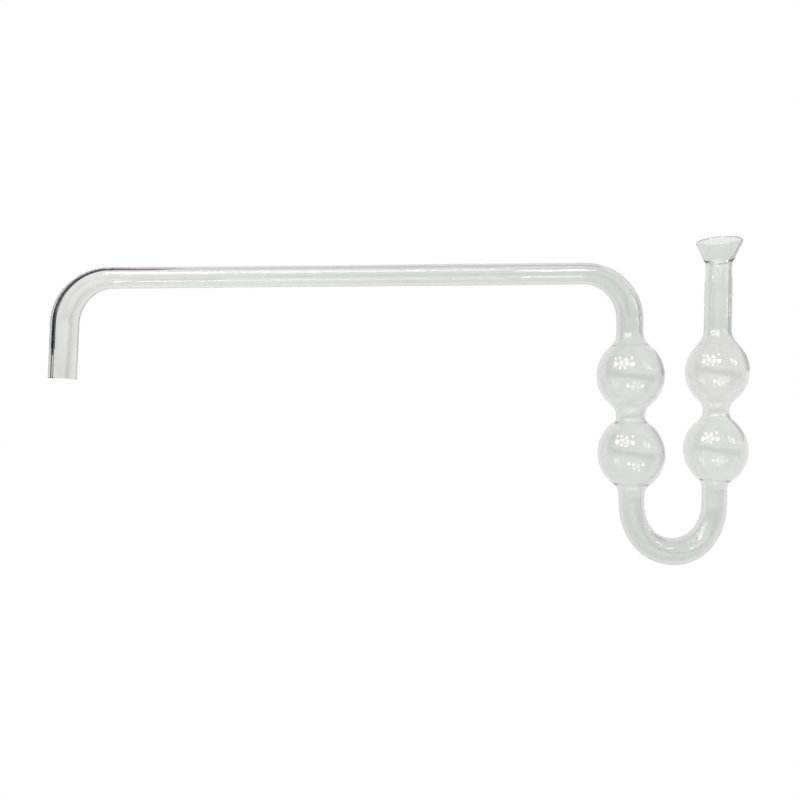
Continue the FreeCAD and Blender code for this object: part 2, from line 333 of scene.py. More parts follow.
class GlassPiece:
    """One section of the run as a closed mesh."""

    def __init__(self, run: GlassRun, hand: HandWork, node: str, stretches: Sequence[Stretch]) -> None:
        """Keeps what the mesh is made from.

        Args:
            run: The run that the section belongs to.
            hand: The glass's unevenness.
            node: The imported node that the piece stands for.
            stretches: Its outline, once round, the outside first and the bore last.
        """
        self.run = run
        self.hand = hand
        self.node = node
        self.stretches = stretches

    def _points(self, stretch: Stretch, share: np.ndarray, angle: np.ndarray) -> np.ndarray:
        """Turns a stretch's trace about the centre line.

        Args:
            stretch: The stretch.
            share: Where on it, from 0 to 1.
            angle: The angles round it.

        Returns:
            Its points on the grid of shares and angles.
        """
        along, radius = stretch.trace(share)
        along, angle = np.broadcast_arrays(along[:, None], angle[None, :])
        relief = self.hand.relief(along, angle, stretch.skin, self.run)
        return self.run.surface(along, radius[:, None] + relief, angle)

    def _normals(self, stretch: Stretch, share: np.ndarray, angle: np.ndarray) -> np.ndarray:
        """Measures a stretch's normals on a grid, from central differences both ways.

        Args:
            stretch: The stretch.
            share: Where on it, from 0 to 1.
            angle: The angles round it.

        Returns:
            The normals, of length one.
        """
        ahead = self._points(stretch, share + PROBE, angle) - self._points(stretch, share - PROBE, angle)
        turned = self._points(stretch, share, angle + PROBE) - self._points(stretch, share, angle - PROBE)
        normal = np.cross(ahead, turned)
        return normal / np.linalg.norm(normal, axis=-1, keepdims=True)

    def _rings(self) -> tuple[np.ndarray, np.ndarray, np.ndarray, np.ndarray]:
        """Stacks the stretches' grids into one grid.

        A ring that ends one stretch and starts the next is kept twice where a seam lies between
        them, and once elsewhere.

        Returns:
            Each ring's points, normals and distance along the run, and whether a seam follows it.
        """
        angle = np.arange(ROUND_STEPS) * (2 * np.pi / ROUND_STEPS)
        points, normals, alongs, seams = [], [], [], []
        for stretch in self.stretches:
            share = np.linspace(0, 1, stretch.rings)
            keep = stretch.rings if stretch.sealed else stretch.rings - 1
            points.append(self._points(stretch, share, angle)[:keep])
            normals.append(self._normals(stretch, share, angle)[:keep])
            alongs.append(stretch.trace(share)[0][:keep])
            seams.append(np.arange(keep) == stretch.rings - 1)
        return tuple(np.concatenate(parts) for parts in (points, normals, alongs, seams))

    def build(self, glass: bpy.types.Material) -> bpy.types.Object:
        """Makes the piece: a grid of quads that is closed both ways, flat on its seams.

        Args:
            glass: The mesh's material.

        Returns:
            The new object, in the scene.
        """
        grid, normals, along, seams = self._rings()
        ring, step = np.meshgrid(np.arange(len(grid)), np.arange(ROUND_STEPS), indexing="ij")
        next_ring, next_step = (ring + 1) % len(grid), (step + 1) % ROUND_STEPS
        corners = [(ring, step), (next_ring, step), (next_ring, next_step), (ring, next_step)]
        quads = np.stack([r * ROUND_STEPS + s for r, s in corners], -1).reshape(-1, 4)
        is_seam = np.repeat(seams, ROUND_STEPS)
        points = grid.reshape(-1, 3)

        mesh = bpy.data.meshes.new(f"{self.node}_glass")
        mesh.from_pydata(points, [], quads.tolist())
        mesh.materials.append(glass)
        mesh.polygons.foreach_set("use_smooth", ~is_seam)
        mesh.attributes.new(SEAM, "FLOAT", "FACE").data.foreach_set("value", is_seam.astype(np.float32))
        for name, values in ((BEND, self.run.bend(along)), (NECK, self.run.neck(along))):
            weights = np.repeat(values, ROUND_STEPS).astype(np.float32)
            mesh.attributes.new(name, "FLOAT", "POINT").data.foreach_set("value", weights)
        corner_normals = normals.reshape(-1, 3)[quads]
        first, second, _, fourth = points[quads].transpose(1, 0, 2)
        flat = np.cross(second - first, fourth - first)
        flat /= np.maximum(np.linalg.norm(flat, axis=-1, keepdims=True), TINY)
        corner_normals[is_seam] = flat[is_seam][:, None, :]
        mesh.update()
        mesh.normals_split_custom_set(corner_normals.reshape(-1, 3))
        piece = bpy.data.objects.new(f"{self.node}_glass", mesh)
        bpy.context.scene.collection.objects.link(piece)
        return piece


def walled(run: GlassRun, span: Span, spacing: float) -> list[Stretch]:
    """The outline of a section with a seam at each end: the outside there and the bore back.

    The rings stand closer together towards both ends, where the seals' fine shapes are.

    Args:
        run: The run that holds the section.
        span: The section's place on it.
        spacing: How far apart the rings lie on average.

    Returns:
        The outside and the bore, each with a seam at its end.
    """
    start, end = span.start + SEAM_GAP, span.end - SEAM_GAP
    rings = max(3, math.ceil((end - start) / spacing) + 1)

    def crowd(share: np.ndarray) -> np.ndarray:
        """Moves shares towards both ends: less a sine of one whole turn."""
        return share - END_CROWDING * np.sin(2 * np.pi * share) / (2 * np.pi)

    def outside(share: np.ndarray) -> tuple[np.ndarray, np.ndarray]:
        """The outside, from the start."""
        along = start + (end - start) * crowd(share)
        return along, run.radius(along, Skin.OUTSIDE)

    def bore(share: np.ndarray) -> tuple[np.ndarray, np.ndarray]:
        """The bore, from the end."""
        along = end + (start - end) * crowd(share)
        return along, run.radius(along, Skin.BORE)

    return [Stretch(outside, rings, Skin.OUTSIDE, True), Stretch(bore, rings, Skin.BORE, True)]


def even(tube: Tube) -> Radii:
    """The skins of a tube of one size."""
    return lambda along, skin: np.full_like(along, tube.radius(skin))


def smooth(share: np.ndarray) -> np.ndarray:
    """The smooth step 3p^2 - 2p^3, which leaves zero and meets one level."""
    return share * share * (3 - 2 * share)


def line_trace(start: tuple[float, float], end: tuple[float, float]) -> Trace:
    """A straight part of an outline, between two places of distance and radius."""
    return lambda share: (start[0] + (end[0] - start[0]) * share, start[1] + (end[1] - start[1]) * share)


def arc_trace(centre: tuple[float, float], size: float, first: float, last: float) -> Trace:
    """Makes a round part of an outline.

    Args:
        centre: Its centre's distance and radius.
        size: Its own radius.
        first: Where it starts, in degrees from the way along the run.
        last: Where it ends.

    Returns:
        The centre plus size times the angle's cosine and sine.
    """
    def trace(share: np.ndarray) -> tuple[np.ndarray, np.ndarray]:
        """The arc's places at shares of its turn."""
        turn = np.radians(first + (last - first) * share)
        return centre[0] + size * np.cos(turn), centre[1] + size * np.sin(turn)
    return trace


# ---- The glass's sub-assemblies, in the order that the gas meets them ----

# Leans and turns are in degrees. Every size is outside the glass unless it says otherwise.


INLET_TUBE = Tube(10.9 * MM, 1.6 * MM)
ARM_TUBE = Tube(9.0 * MM, 1.2 * MM)
DROP_TUBE = Tube(10.7 * MM, 1.5 * MM)
INNER_U_TUBE = Tube(10.3 * MM, 1.4 * MM)
OUTER_U_TUBE = Tube(9.6 * MM, 1.4 * MM)
MOUTH_TUBE = Tube(10.7 * MM, 1.5 * MM)


class SubAssembly:
    """Some sections of the run that a glassblower makes together."""

    def lay(self, run: GlassRun) -> None:
        """Adds the sections to the run's end."""
        raise NotImplementedError

    def outlines(self, run: GlassRun) -> dict[str, list[Stretch]]:
        """Each section's outline, by the node it stands for. The run is whole by then."""
        raise NotImplementedError


@dataclass
class BentSection:
    """A bend whose skins go smoothly from tube to tube, which stand at even shares of its turn."""

    arcs: Sequence[tuple[float, float]]
    tubes: Sequence[Tube]

    def legs(self) -> list[Leg]:
        """Its arcs as stretches of the centre line."""
        return [Leg.bend(radius, turn) for radius, turn in self.arcs]

    def radii(self, along: np.ndarray, skin: Skin) -> np.ndarray:
        """Finds how wide a skin is, by a smooth step over the turn from each tube to the next.

        Args:
            along: Distances from the bend's start.
            skin: The skin.

        Returns:
            Its radius there.
        """
        ends = np.cumsum([0.0] + [leg.length for leg in self.legs()])
        turned = np.cumsum([0.0] + [abs(turn) for _, turn in self.arcs])
        share = np.interp(along, ends, turned / turned[-1]) * (len(self.tubes) - 1)
        index = np.minimum(share.astype(int), len(self.tubes) - 2)
        part = share - index
        sizes = np.array([tube.radius(skin) for tube in self.tubes])
        return sizes[index] + (sizes[index + 1] - sizes[index]) * smooth(part)


@dataclass
class Inlet(SubAssembly):
    """The inlet leg with its fire-polished open end, and the bend up to the arm."""

    lean: float = 3.0
    length: float = 23.2 * MM
    end_round: float = 0.4 * MM
    bend_radius: float = 20.0 * MM
    spacing: float = 1.0 * MM

    def lay(self, run: GlassRun) -> None:
        """The leg, then the bend.

        Args:
            run: The run, which grows by them.
        """
        bend = BentSection([(self.bend_radius, self.lean - 90)], [INLET_TUBE, ARM_TUBE])
        self.leg = run.lay([Leg(self.length)], even(INLET_TUBE))
        self.bend = run.lay(bend.legs(), bend.radii)

    def outlines(self, run: GlassRun) -> dict[str, list[Stretch]]:
        """The leg is its outside, its bore and, across its open end, a quarter round, a flat and another.

        Args:
            run: The whole run.

        Returns:
            The leg's and the bend's outlines.
        """
        e, inner, outer = self.end_round, INLET_TUBE.radius(Skin.BORE), INLET_TUBE.radius(Skin.OUTSIDE)
        top = self.leg.end - SEAM_GAP
        rings = math.ceil(self.length / self.spacing)
        leg = [
            Stretch(line_trace((e, outer), (top, outer)), rings, Skin.OUTSIDE, True),
            Stretch(line_trace((top, inner), (e, inner)), rings, Skin.BORE),
            Stretch(arc_trace((e, inner + e), e, 270, 180), ROUND_RINGS, Skin.BORE),
            Stretch(line_trace((0, inner + e), (0, outer - e)), FLAT_RINGS, Skin.OUTSIDE),
            Stretch(arc_trace((e, outer - e), e, 180, 90), ROUND_RINGS, Skin.OUTSIDE),
        ]
        return {"inlet_leg": leg, "inlet_bend": walled(run, self.bend, spacing=0.8 * MM)}


@dataclass
class SideArm(SubAssembly):
    """The long arm, the drop bend and the short tube down to the bulbs."""

    length: float = 198.3 * MM
    bend_radius: float = 19.0 * MM
    drop: float = 5.6 * MM

    def lay(self, run: GlassRun) -> None:
        """The arm, the bend, then the drop tube.

        Args:
            run: The run, which grows by them.
        """
        bend = BentSection([(self.bend_radius, -90)], [ARM_TUBE, DROP_TUBE])
        self.arm = run.lay([Leg(self.length)], even(ARM_TUBE))
        self.bend = run.lay(bend.legs(), bend.radii)
        self.tube = run.lay([Leg(self.drop)], even(DROP_TUBE))

    def outlines(self, run: GlassRun) -> dict[str, list[Stretch]]:
        """Gives the arm, the bend and the drop tube a seam at each end.

        Args:
            run: The whole run.

        Returns:
            Their outlines, by node.
        """
        return {
            "long_arm": walled(run, self.arm, spacing=1.5 * MM),
            "drop_bend": walled(run, self.bend, spacing=0.8 * MM),
            "drop_tube": walled(run, self.tube, spacing=0.6 * MM),
        }


@dataclass(frozen=True)
class Bulb:
    """A blown bulb: its widest outside diameter and the hollow shoulders where it meets its tubes.

    The side is an arc of a larger radius than half the diameter, so that it is a little long.
    """

    od: float
    entry_shoulder: float
    exit_shoulder: float
    side: float = 16.4 * MM
    wall: float = 1.1 * MM

    def reach(self, tube: Tube, shoulder: float, skin: Skin) -> float:
        """Finds where a shoulder ends: one side of a right triangle between the side's and its centres.

        Args:
            tube: The tube that it meets.
            shoulder: Its radius outside.
            skin: The skin.

        Returns:
            How far that is from the bulb's middle.
        """
        inset = self.wall if skin is Skin.BORE else 0.0
        rise = tube.radius(skin) + shoulder + inset + self.side - self.od / 2
        return math.sqrt((self.side + shoulder) ** 2 - rise ** 2)

    def longest(self, tube: Tube, shoulder: float) -> float:
        """The reach of the shoulder that ends further out."""
        return max(self.reach(tube, shoulder, skin) for skin in Skin)

    def radii(self, offset: np.ndarray, entry: Tube, exit_tube: Tube, skin: Skin) -> np.ndarray:
        """Finds how wide a skin is.

        The side is a circle of the side's radius about a hub across the axis. Each shoulder is a
        hollow circle that touches both the side and the tube's straight line.

        Args:
            offset: Distances from the bulb's middle.
            entry: The tube before the bulb.
            exit_tube: The tube after it.
            skin: The skin.

        Returns:
            Its radius there.
        """
        inset = self.wall if skin is Skin.BORE else 0.0
        side = self.side - inset
        result = self.od / 2 - self.side + np.sqrt(np.maximum(side ** 2 - offset ** 2, 0))
        ends = ((entry, self.entry_shoulder, -1), (exit_tube, self.exit_shoulder, 1))
        for tube, outside_shoulder, way in ends:
            radius, shoulder = tube.radius(skin), outside_shoulder + inset
            reach = self.reach(tube, outside_shoulder, skin)
            ahead = offset * way
            height = np.sqrt(np.maximum(shoulder ** 2 - (ahead - reach) ** 2, 0))
            result = np.where(ahead > reach * side / (side + shoulder), radius + shoulder - height, result)
            result = np.where(ahead > reach, radius, result)
        return result


@dataclass
class BulbColumn:
    """Two bulbs with a neck between them, on one straight stretch of centre line.

    Attributes:
        first: The bulb that the gas meets first.
        second: The other bulb.
        entry: The tube before the bulbs.
        neck: The tube that the neck would be, if it were long.
        exit_tube: The tube after the bulbs.
        names: The nodes of the first bulb, the neck and the second bulb.
        mark: How far past the top bulb's middle the flame left its line.
        waist: How much of the neck is straight.
        neck_length: How far apart the neck's seams are.
    """

    first: Bulb
    second: Bulb
    entry: Tube
    neck: Tube
    exit_tube: Tube
    names: tuple[str, str, str]
    mark: float
    waist: float = 0.2 * MM
    neck_length: float = 2.6 * MM

    def __post_init__(self) -> None:
        """Works out where the bulbs' middles and the seams lie."""
        first, second, half = self.first, self.second, self.waist / 2
        self.first_middle = first.longest(self.entry, first.entry_shoulder)
        self.neck_middle = self.first_middle + first.longest(self.neck, first.exit_shoulder) + half
        self.second_middle = self.neck_middle + half + second.longest(self.neck, second.entry_shoulder)
        self.length = self.second_middle + second.longest(self.exit_tube, second.exit_shoulder)

    def radii(self, along: np.ndarray, skin: Skin) -> np.ndarray:
        """Finds how wide a skin is. Each bulb answers for its own side of the neck's middle.

        Args:
            along: Distances from the column's start.
            skin: The skin.

        Returns:
            Its radius there.
        """
        before = self.first.radii(along - self.first_middle, self.entry, self.neck, skin)
        after = self.second.radii(along - self.second_middle, self.neck, self.exit_tube, skin)
        return np.where(along < self.neck_middle, before, after)

    def lay(self, run: GlassRun) -> None:
        """The first bulb, the neck and the second bulb. The top bulb is the one that the mark lies beyond.

        Args:
            run: The run, which grows by them.
        """
        top = self.second_middle if self.mark > 0 else self.first_middle
        run.marks.append(run.length + top + self.mark)
        run.necks.append(run.length + self.neck_middle)
        half = self.neck_length / 2
        seams = [0.0, self.neck_middle - half, self.neck_middle + half, self.length]
        self.spans = [
            run.lay([Leg(high - low)], lambda along, skin, low=low: self.radii(along + low, skin))
            for low, high in zip(seams, seams[1:])
        ]

    def outlines(self, run: GlassRun) -> dict[str, list[Stretch]]:
        """Gives both bulbs and the neck a seam at each end.

        Args:
            run: The whole run.

        Returns:
            Their outlines, by node.
        """
        spacings = (0.22 * MM, 0.15 * MM, 0.22 * MM)
        return {
            name: walled(run, span, spacing)
            for name, span, spacing in zip(self.names, self.spans, spacings)
        }


@dataclass
class InnerColumn(SubAssembly):
    """The two bulbs on the way down, and the U's first leg."""

    column: BulbColumn = field(default_factory=lambda: BulbColumn(
        Bulb(27.1 * MM, 7.4 * MM, 6.0 * MM), Bulb(27.0 * MM, 2.8 * MM, 7.4 * MM),
        DROP_TUBE, Tube(11.8 * MM, 1.4 * MM), INNER_U_TUBE, ("bulb_1", "inner_neck", "bulb_2"),
        -14.6 * MM))
    leg_length: float = 3.2 * MM

    def lay(self, run: GlassRun) -> None:
        """The column, then the leg."""
        self.column.lay(run)
        self.leg = run.lay([Leg(self.leg_length)], even(INNER_U_TUBE))

    def outlines(self, run: GlassRun) -> dict[str, list[Stretch]]:
        """The column's sections and the leg."""
        return self.column.outlines(run) | {"inner_u_leg": walled(run, self.leg, spacing=0.6 * MM)}


@dataclass
class UBend(SubAssembly):
    """The U at the bottom, tighter and wider at its lowest part than at its sides."""

    side_radius: float = 22.3 * MM
    side_turn: float = 35.0
    bottom_radius: float = 16.2 * MM
    bottom_tube: Tube = Tube(11.2 * MM, 1.4 * MM)
    outlet_lean: float = 1.7

    def lay(self, run: GlassRun) -> None:
        """Three arcs: side, bottom, side.

        Args:
            run: The run, which grows by them.
        """
        bottom_turn = 180 - self.outlet_lean - 2 * self.side_turn
        sides = (self.side_radius, self.side_turn)
        bend = BentSection([sides, (self.bottom_radius, bottom_turn), sides],
                           [INNER_U_TUBE, self.bottom_tube, OUTER_U_TUBE])
        self.bend = run.lay(bend.legs(), bend.radii)

    def outlines(self, run: GlassRun) -> dict[str, list[Stretch]]:
        """One section with a seam at each end."""
        return {"u_bend": walled(run, self.bend, spacing=0.7 * MM)}


@dataclass
class OuterColumn(SubAssembly):
    """The U's second leg and the two bulbs on the way up."""

    leg_length: float = 6.9 * MM
    column: BulbColumn = field(default_factory=lambda: BulbColumn(
        Bulb(24.8 * MM, 4.7 * MM, 4.8 * MM), Bulb(24.6 * MM, 5.6 * MM, 9.0 * MM),
        OUTER_U_TUBE, Tube(10.3 * MM, 1.4 * MM), MOUTH_TUBE, ("bulb_3", "outer_neck", "bulb_4"),
        14.6 * MM))

    def lay(self, run: GlassRun) -> None:
        """The leg, then the column."""
        self.leg = run.lay([Leg(self.leg_length)], even(OUTER_U_TUBE))
        self.column.lay(run)

    def outlines(self, run: GlassRun) -> dict[str, list[Stretch]]:
        """The leg and the column's sections."""
        return {"outer_u_leg": walled(run, self.leg, spacing=0.6 * MM)} | self.column.outlines(run)


@dataclass
class Mouth(SubAssembly):
    """The tube up from the top bulb, its narrower collar and the flared mouth.

    Attributes:
        length: How long the tube is.
        taper: How much of it narrows towards the collar.
        collar_od: The collar's diameter.
        collar_length: How long the collar is.
        flare_height: How high the flare is, from the collar to the rim.
        rim_od: Its diameter at the rim.
        foot_od: Its diameter at its foot.
        flare_wall: How thick its wall is.
        throat: How high the curve inside it is, from the bore to the cone.
        rings: How many rings its foot, outside, lip, cone and throat have.
    """

    length: float = 23.6 * MM
    taper: float = 5.0 * MM
    collar_od: float = 10.1 * MM
    collar_length: float = 4.4 * MM
    flare_height: float = 8.9 * MM
    rim_od: float = 17.8 * MM
    foot_od: float = 11.2 * MM
    flare_wall: float = 1.4 * MM
    throat: float = 2.4 * MM
    rings: tuple[int, int, int, int, int] = (9, 18, 19, 14, 8)

    def tube_radii(self, along: np.ndarray, skin: Skin) -> np.ndarray:
        """Finds how wide the tube is. The outside narrows by a smooth step, and the bore stays.

        Args:
            along: Distances from the tube's start.
            skin: The skin.

        Returns:
            Its radius there.
        """
        radius = MOUTH_TUBE.radius(skin)
        if skin is Skin.BORE:
            return np.full_like(along, radius)
        share = np.clip((along - self.length + self.taper) / self.taper, 0, 1)
        return radius + (self.collar_od / 2 - radius) * smooth(share)

    def collar_radii(self, along: np.ndarray, skin: Skin) -> np.ndarray:
        """The collar is even, and keeps the tube's bore."""
        return np.full_like(along, MOUTH_TUBE.radius(skin) if skin is Skin.BORE else self.collar_od / 2)

    def lay(self, run: GlassRun) -> None:
        """The tube, the collar, then the flare's own stretch of centre line.

        Args:
            run: The run, which grows by them.
        """
        self.tube = run.lay([Leg(self.length)], self.tube_radii)
        self.collar = run.lay([Leg(self.collar_length)], self.collar_radii)
        self.flare = run.lay([Leg(self.flare_height)], self.collar_radii)

    def _flare(self) -> list[Stretch]:
        """Draws the flare's outline.

        The foot and the lip are arcs of half the wall. The outside is the straight line that touches
        both. The throat is a parabola that leaves the bore level and meets the inner cone's slope.

        Returns:
            The foot, the outside, the lip, the inner cone and the throat, which ends in the seam.
        """
        half, base = self.flare_wall / 2, self.flare.start
        collar, bore = self.collar_od / 2, MOUTH_TUBE.radius(Skin.BORE)
        foot_radius = self.foot_od / 2 - half
        sunk = math.sqrt(half ** 2 - (collar - foot_radius) ** 2)
        foot, lip = (base + sunk, foot_radius), (base + self.flare_height - half, self.rim_od / 2 - half)
        slope = math.degrees(math.atan2(lip[1] - foot[1], lip[0] - foot[0]))
        first = math.degrees(math.atan2(collar - foot_radius, -sunk))
        spread = math.radians(slope)
        inner_lip = (lip[0] + half * math.sin(spread), lip[1] - half * math.cos(spread))
        rise = (inner_lip[1] - bore) / (inner_lip[0] - base - self.throat / 2)
        touch = (base + self.throat, bore + rise * self.throat / 2)

        def throat(share: np.ndarray) -> tuple[np.ndarray, np.ndarray]:
            """The throat's places, from the cone to the seam."""
            along = (self.throat - SEAM_GAP) * (1 - share) + SEAM_GAP
            return base + along, bore + rise * along ** 2 / (2 * self.throat)

        out_x, out_r = half * -math.sin(spread), half * math.cos(spread)
        traces = (
            arc_trace(foot, half, first, slope + 90),
            line_trace((foot[0] + out_x, foot[1] + out_r), (lip[0] + out_x, lip[1] + out_r)),
            arc_trace(lip, half, slope + 90, slope - 90),
            line_trace(inner_lip, touch),
            throat,
        )
        return [
            Stretch(trace, rings, Skin.OUTSIDE, trace is throat)
            for trace, rings in zip(traces, self.rings)
        ]

    def outlines(self, run: GlassRun) -> dict[str, list[Stretch]]:
        """Gives the tube and the collar a seam at each end, and the flare one at its foot.

        Args:
            run: The whole run.

        Returns:
            Their outlines, by node.
        """
        return {
            "mouth_tube": walled(run, self.tube, spacing=0.8 * MM),
            "mouth_collar": walled(run, self.collar, spacing=0.5 * MM),
            "mouth_flare": self._flare(),
        }


# ---- Shaders ----

class Wire:
    """A socket in an expression. Arithmetic on it adds Math nodes."""

    def __init__(self, sheet: "ShaderSheet", socket: bpy.types.NodeSocket) -> None:
        """Wraps an output socket of a sheet."""
        self.sheet = sheet
        self.socket = socket

    def _maths(self, operation: str, first: "Wire | float", second: "Wire | float") -> "Wire":
        """One Math node on two values."""
        return self.sheet.node("ShaderNodeMath", {"operation": operation}, {0: first, 1: second})

    def __add__(self, other: "Wire | float") -> "Wire":
        """The sum."""
        return self._maths("ADD", self, other)

    def __sub__(self, other: "Wire | float") -> "Wire":
        """The difference."""
        return self._maths("SUBTRACT", self, other)

    def __rsub__(self, other: float) -> "Wire":
        """The difference from a number."""
        return self._maths("SUBTRACT", other, self)

    def __mul__(self, other: "Wire | float") -> "Wire":
        """The product."""
        return self._maths("MULTIPLY", self, other)

    def clamped(self) -> "Wire":
        """The value held between zero and one."""
        return self._maths("MINIMUM", self._maths("MAXIMUM", self, 0.0), 1.0)

    def at_least(self, other: "Wire | float") -> "Wire":
        """The greater of two values."""
        return self._maths("MAXIMUM", self, other)

    __radd__ = __add__
    __rmul__ = __mul__


class ShaderSheet:
    """A node tree that is written as expressions."""

    def __init__(self, tree: bpy.types.NodeTree) -> None:
        """Starts an empty sheet on a tree."""
        self.tree = tree
        tree.nodes.clear()

    def node(self, kind: str, settings: dict[str, object], values: dict[int | str, object],
             output: int | str = 0) -> Wire:
        """Adds a node.

        Args:
            kind: The node's type.
            settings: Its own settings, which are set first.
            values: What goes into its sockets, by name or place: a wire or a plain value.
            output: The output that is wanted, by name or place.

        Returns:
            That output.
        """
        made = self.tree.nodes.new(kind)
        for name, value in settings.items():
            setattr(made, name, value)
        for name, value in values.items():
            if isinstance(value, Wire):
                self.tree.links.new(value.socket, made.inputs[name])
            else:
                made.inputs[name].default_value = value
        if not made.outputs:
            return Wire(self, made.inputs[0])
        return Wire(self, made.outputs[output])

    def attribute(self, name: str) -> Wire:
        """A number that the mesh carries."""
        return self.node("ShaderNodeAttribute", {"attribute_name": name}, {}, "Fac")

    def noise(self, place: Wire, scale: float, detail: float = 2.0) -> Wire:
        """Smooth noise about a half, as fine as its scale is great."""
        values = {"Vector": place, "Scale": scale, "Detail": detail}
        return self.node("ShaderNodeTexNoise", {}, values, "Fac")

    def mix(self, weight: Wire, first: object, second: object, blend: str = "MIX") -> Wire:
        """Two colours mixed, from the first at zero to the second at one, or to the blend of both."""
        settings = {"data_type": "RGBA", "blend_type": blend}
        return self.node("ShaderNodeMix", settings, {0: weight, 6: first, 7: second}, 2)


def new_material(name: str) -> tuple[bpy.types.Material, ShaderSheet]:
    """Makes a material.

    Args:
        name: Its name.

    Returns:
        The material and its empty sheet.
    """
    material = bpy.data.materials.new(name)
    material.use_nodes = True
    return material, ShaderSheet(material.node_tree)


@dataclass(frozen=True)
class Ramp:
    """Zero up to a start and one from a width beyond it. A width below zero turns it round."""

    start: float
    width: float

    def at(self, value: Wire) -> Wire:
        """How far up the ramp a value is."""
        return ((value - self.start) * (1 / self.width)).clamped()


@dataclass(frozen=True)
class ClearGlass:
    """Flame-worked borosilicate: clear, and pale grey where it is looked through.

    Attributes:
        cool: The colour of the arm and the inner column.
        warm: The colour near the inlet and the mouth, a painted reflection of a warm surround.
        blush: The tint of the outer bulbs, most in the upper one, a painted reflection of a warm surround.
        bend_shade: Painted shade: the darker tint of the tight bends.
        drawn: Painted light: the lighter tint of the necks.
        cloud: The tint of soft patches all over.
        refraction: Its index of refraction.
        handled: The roughness where it is most handled.
        handled_from: The level of the smudges from which it is rough at all.
        depth_colour: What is left of white light after a long way through it.
        density: How fast it takes light, per metre.
        inlet_reach: How far from the inlet, along X, the glass is warm.
        outer: Where, along X, the outer column's side of the part begins.
        mouth: The heights over which the outer column turns warm.
        mouth_warmth: How warm it is at the mouth.
        blush_low: The heights over which the blush comes in, going up.
        blush_high: The heights over which it comes in, coming down.
        drift_scale: How fine the unevenness of warmth and blush is.
        drift_lift: What lifts that unevenness towards one.
        smudge_scale: How fine the smudges of handling are.
        cloud_scale: How fine the soft patches are.
        cloud_contrast: How much their noise is spread.
        grain_scale: How fine the skin's grain is.
        grain_strength: How strongly the grain turns the light.
        grain_depth: How deep it is.
    """

    cool: tuple[float, float, float, float] = (0.903, 0.909, 0.896, 1.0)
    warm: tuple[float, float, float, float] = (1.0, 0.992, 0.972, 1.0)
    blush: tuple[float, float, float, float] = (0.994, 0.989, 0.982, 1.0)
    # Painted shade: a darker tint for the tight bends.
    bend_shade: tuple[float, float, float, float] = (0.965, 0.967, 0.970, 1.0)
    # Painted light: a lighter tint for the necks.
    drawn: tuple[float, float, float, float] = (1.036, 1.033, 1.034, 1.0)
    cloud: tuple[float, float, float, float] = (0.980, 0.983, 0.985, 1.0)
    refraction: float = 1.473
    handled: float = 0.02
    handled_from: float = 0.4
    depth_colour: tuple[float, float, float, float] = (0.50, 0.53, 0.515, 1.0)
    density: float = 130.0
    inlet_reach: float = 150.0 * MM
    outer: Ramp = Ramp(255.0 * MM, 8.0 * MM)
    mouth: Ramp = Ramp(-100.0 * MM, 80.0 * MM)
    mouth_warmth: float = 0.25
    blush_low: Ramp = Ramp(-45.0 * MM, 40.0 * MM)
    blush_high: Ramp = Ramp(30.0 * MM, -16.0 * MM)
    drift_scale: float = 40.0
    drift_lift: float = 0.4
    smudge_scale: float = 60.0
    cloud_scale: float = 150.0
    cloud_contrast: float = 3.0
    grain_scale: float = 320.0
    grain_strength: float = 0.05
    grain_depth: float = 0.02 * MM

    def _warmth(self, sheet: ShaderSheet, place: Wire) -> tuple[Wire, Wire]:
        """Finds where the painted reflection of a warm surround tints the glass: how warm it is and how
        much it blushes.

        Args:
            sheet: The glass's sheet.
            place: The place on the glass.

        Returns:
            Both, each from zero to one.
        """
        x, z = (sheet.node("ShaderNodeSeparateXYZ", {}, {"Vector": place}, axis) for axis in ("X", "Z"))
        inlet = 1.0 - x * (1 / self.inlet_reach)
        outer = self.outer.at(x)
        mouth = self.mouth.at(z) * outer
        drift = (sheet.noise(place, self.drift_scale) + self.drift_lift).clamped()
        height = self.blush_low.at(z) * self.blush_high.at(z)
        return inlet.at_least(mouth * self.mouth_warmth).clamped() * drift, height * outer * drift

    def material(self) -> bpy.types.Material:
        """Makes the glass.

        Its alpha is zero on the seam faces, which light passes as if they were not there.

        Returns:
            The one material of all pieces.
        """
        material, sheet = new_material("clear_glass")
        place = sheet.node("ShaderNodeTexCoord", {}, {}, "Object")
        warmth, blush = self._warmth(sheet, place)
        bend, neck = sheet.attribute(BEND), sheet.attribute(NECK)
        smudge = sheet.noise(place, self.smudge_scale, 3.0)
        cloud = sheet.noise(place, self.cloud_scale)
        # The warm colour and the blush are a painted reflection of a warm surround.
        colour = sheet.mix(warmth, self.cool, self.warm)
        # The bends take a painted shade and the necks a painted light.
        tints = ((blush, self.blush), (bend * (1.0 - warmth), self.bend_shade), (neck, self.drawn),
                 ((cloud * self.cloud_contrast - 1).clamped(), self.cloud))
        for weight, tint in tints:
            colour = sheet.mix(weight, colour, tint, "MULTIPLY")
        bump = sheet.node("ShaderNodeBump", {}, {
            "Height": sheet.noise(place, self.grain_scale), "Strength": self.grain_strength,
            "Distance": self.grain_depth}, "Normal")
        seam = sheet.attribute(SEAM)
        roughness = (smudge - self.handled_from).clamped() * (self.handled / self.handled_from)
        surface = sheet.node("ShaderNodeBsdfPrincipled", {}, {
            "Base Color": colour, "Roughness": roughness, "IOR": self.refraction,
            "Transmission Weight": 1.0, "Normal": bump, "Alpha": 1.0 - seam})
        depth = sheet.node("ShaderNodeVolumeAbsorption", {}, {
            "Color": self.depth_colour, "Density": self.density})
        sheet.node("ShaderNodeOutputMaterial", {}, {"Surface": surface, "Volume": depth})
        return material


# ---- The studio ----

Place = tuple[float, float, float]
Colour = tuple[float, float, float]
PlanPlace = tuple[float, float]

BLACK = (0.0, 0.0, 0.0)
NAVY = (0.0, 0.0096, 0.032)
PLUM = (0.10, 0.0, 0.04)
WHITE = (1.0, 1.0, 1.0)


